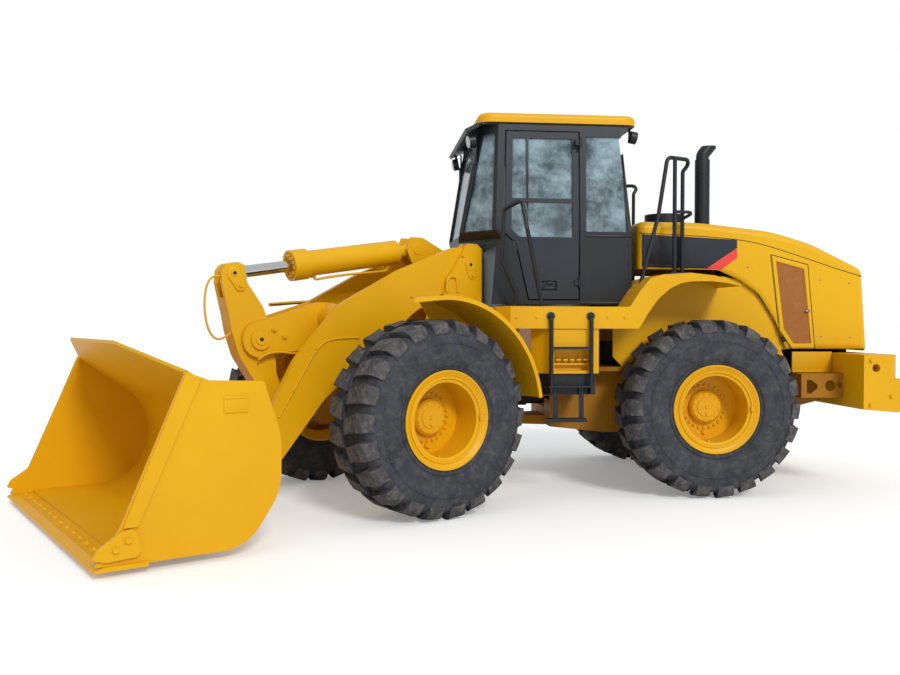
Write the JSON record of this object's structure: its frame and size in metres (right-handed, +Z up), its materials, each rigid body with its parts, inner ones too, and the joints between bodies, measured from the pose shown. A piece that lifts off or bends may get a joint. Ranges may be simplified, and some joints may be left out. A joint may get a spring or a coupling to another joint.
{
  "type": "articulated wheel loader",
  "caption": "Articulated wheel loader with a bucket on a Z-bar linkage, a glazed cab, a tilting hood and four large lugged tyres.",
  "frame": {"origin": "on the ground under the middle of the bounding box, with the machine standing turned at its hitch", "axes": "+X forward along the rear half, +Y to its left, +Z up"},
  "size_m": [8.1022, 4.8102, 3.522],
  "materials": {
    "yellow_paint": "gloss",
    "black_paint": "satin",
    "glass": "gloss",
    "tyre": "matte",
    "chrome_rod": "polished",
    "pin_steel": "satin",
    "interior": "matte"
  },
  "bodies": {
    "rear": {"rear_frame": "yellow_paint", "frame_pins": "pin_steel", "counterweight": "yellow_paint", "rear_axle": "yellow_paint", "powertrain": "black_paint", "rear_fenders": "yellow_paint", "service_boxes": "yellow_paint", "ladders_and_rails": "black_paint", "cab_frame": "black_paint", "cab_glass": "glass", "cab_roof": "yellow_paint", "lamps": "black_paint", "cab_interior": "interior"},
    "door": {"cab_door": "black_paint", "door_glass": "glass"},
    "hood": {"hood": "yellow_paint", "hood_grilles": "black_paint", "stacks": "black_paint"},
    "front": {"front_frame": "yellow_paint", "front_axle": "yellow_paint", "front_fenders": "yellow_paint"},
    "arms": {"lift_arms": "yellow_paint"},
    "bucket_pins": {"bucket_pins": "pin_steel"},
    "bucket": {"bucket": "yellow_paint", "ground_tools": "yellow_paint"},
    "bell_pin": {"bell_pin": "pin_steel"},
    "bellcrank": {"bellcrank": "yellow_paint"},
    "link_pin": {"link_pin": "pin_steel"},
    "bucket_link": {"bucket_link": "yellow_paint"},
    "tilt_barrel": {"tilt_barrel": "yellow_paint"},
    "tilt_rod": {"tilt_rod": "chrome_rod"},
    "lift_barrels": {"lift_barrels": "yellow_paint"},
    "lift_rods": {"lift_rods": "chrome_rod"},
    "steer_barrel_left": {"steer_barrel_left": "yellow_paint"},
    "steer_rod_left": {"steer_rod_left": "chrome_rod"},
    "steer_barrel_right": {"steer_barrel_right": "yellow_paint"},
    "steer_rod_right": {"steer_rod_right": "chrome_rod"},
    "wheel_front_left": {"rim_front_left": "yellow_paint", "tyre_front_left": "tyre"},
    "wheel_front_right": {"rim_front_right": "yellow_paint", "tyre_front_right": "tyre"},
    "wheel_rear_left": {"rim_rear_left": "yellow_paint", "tyre_rear_left": "tyre"},
    "wheel_rear_right": {"rim_rear_right": "yellow_paint", "tyre_rear_right": "tyre"}
  },
  "joints": [
    {"name": "steer", "type": "hinge", "parent": "rear", "child": "front", "pos_m": [-0.50212, -1.03514, 1.18201], "axis": [0, 0, 1], "range_deg": [-69.4, 10.6]},
    {"name": "lift", "type": "hinge", "parent": "front", "child": "arms", "pos_m": [0.17743, -0.65223, 2.11001], "axis": [0.4909, -0.8712, 0], "range_deg": [-0.6, 80]},
    {"name": "bucket_level", "type": "hinge", "parent": "arms", "child": "bucket_pins", "pos_m": [2.10281, 0.43266, 0.43201], "axis": [-0.4909, 0.8712, 0], "range_deg": [-0.9, 80.3]},
    {"name": "tilt", "type": "hinge", "parent": "bucket_pins", "child": "bucket", "pos_m": [2.10281, 0.43266, 0.43201], "axis": [-0.4909, 0.8712, 0], "range_deg": [-40, 48]},
    {"name": "bell_level", "type": "hinge", "parent": "arms", "child": "bell_pin", "pos_m": [1.88065, 0.30748, 1.43201], "axis": [0.4909, -0.8712, 0], "range_deg": [-0.39, 12.49]},
    {"name": "bell_turn", "type": "hinge", "parent": "bell_pin", "child": "bellcrank", "pos_m": [1.88065, 0.30748, 1.43201], "axis": [0.4909, -0.8712, 0], "range_deg": [-6.6, 7.86]},
    {"name": "link_level", "type": "hinge", "parent": "bucket", "child": "link_pin", "pos_m": [2.18993, 0.48175, 0.70201], "axis": [0.4909, -0.8712, 0], "range_deg": [-0.68, 50.52]},
    {"name": "link_turn", "type": "hinge", "parent": "link_pin", "child": "bucket_link", "pos_m": [2.18993, 0.48175, 0.70201], "axis": [0.4909, -0.8712, 0], "range_deg": [-31.74, 38.02]},
    {"name": "tilt_barrel_turn", "type": "hinge", "parent": "front", "child": "tilt_barrel", "pos_m": [0.49978, -0.4706, 2.25201], "axis": [0.4909, -0.8712, 0], "range_deg": [-1.02, 96.6]},
    {"name": "tilt_rod_slide", "type": "slide", "parent": "tilt_barrel", "child": "tilt_rod", "axis": [0.8612, 0.4852, -0.1514], "range_m": [-0.06508, 0.05457]},
    {"name": "lift_barrel_turn", "type": "hinge", "parent": "front", "child": "lift_barrels", "pos_m": [0.22099, -0.62769, 1.45201], "axis": [0.4909, -0.8712, 0], "range_deg": [-0.83, 70.84]},
    {"name": "lift_rod_slide", "type": "slide", "parent": "lift_barrels", "child": "lift_rods", "axis": [0.858, 0.4835, -0.1734], "range_m": [-0.00796, 0.79702]},
    {"name": "steer_barrel_left_turn", "type": "hinge", "parent": "rear", "child": "steer_barrel_left", "pos_m": [-1.25212, -0.69514, 0.90201], "axis": [0, 0, 1], "range_deg": [-15.77, 2.66]},
    {"name": "steer_rod_left_slide", "type": "slide", "parent": "steer_barrel_left", "child": "steer_rod_left", "axis": [0.9986, 0.0537, 0], "range_m": [-0.05808, 0.36916]},
    {"name": "steer_barrel_right_turn", "type": "hinge", "parent": "rear", "child": "steer_barrel_right", "pos_m": [-1.25212, -1.37514, 0.90201], "axis": [0, 0, 1], "range_deg": [-15.84, 2.67]},
    {"name": "steer_rod_right_slide", "type": "slide", "parent": "steer_barrel_right", "child": "steer_rod_right", "axis": [0.9841, 0.1777, 0], "range_m": [-0.36598, 0.05759]},
    {"name": "roll_front_left", "type": "hinge", "parent": "front", "child": "wheel_front_left", "pos_m": [0.4319, 0.71932, 0.80201], "axis": [-0.4909, 0.8712, 0], "continuous": true},
    {"name": "roll_front_right", "type": "hinge", "parent": "front", "child": "wheel_front_right", "pos_m": [1.48243, -1.14507, 0.80201], "axis": [-0.4909, 0.8712, 0], "continuous": true},
    {"name": "roll_rear_left", "type": "hinge", "parent": "rear", "child": "wheel_rear_left", "pos_m": [-2.17712, 0.03486, 0.80201], "axis": [0, 1, 0], "continuous": true},
    {"name": "roll_rear_right", "type": "hinge", "parent": "rear", "child": "wheel_rear_right", "pos_m": [-2.17712, -2.10514, 0.80201], "axis": [0, 1, 0], "continuous": true},
    {"name": "door_swing", "type": "hinge", "parent": "rear", "child": "door", "pos_m": [-1.04712, -0.18914, 2.24201], "axis": [0, 0, 1], "range_deg": [0, 85]},
    {"name": "hood_lift", "type": "hinge", "parent": "rear", "child": "hood", "pos_m": [-3.93212, -1.03514, 1.40201], "axis": [0, -1, 0], "range_deg": [0, 35]}
  ],
  "couplings": [
    {"joint": "bucket_level", "follows": "lift", "ratio": 1},
    {"joint": "bell_level", "follows": "lift", "ratio": 0.1524},
    {"joint": "bell_turn", "follows": "tilt", "ratio": 0.1575},
    {"joint": "link_level", "follows": "lift", "ratio": 0.6277},
    {"joint": "link_turn", "follows": "tilt", "ratio": 0.7859},
    {"joint": "tilt_barrel_turn", "follows": "lift", "ratio": 1.2038},
    {"joint": "tilt_rod_slide", "follows": "tilt", "m_per_rad": -0.0753},
    {"joint": "lift_barrel_turn", "follows": "lift", "ratio": 0.8818},
    {"joint": "lift_rod_slide", "follows": "lift", "m_per_rad": 0.56939},
    {"joint": "steer_barrel_left_turn", "follows": "steer", "ratio": 0.22296},
    {"joint": "steer_rod_left_slide", "follows": "steer", "m_per_rad": -0.30312},
    {"joint": "steer_barrel_right_turn", "follows": "steer", "ratio": 0.22387},
    {"joint": "steer_rod_right_slide", "follows": "steer", "m_per_rad": 0.30049}
  ]
}
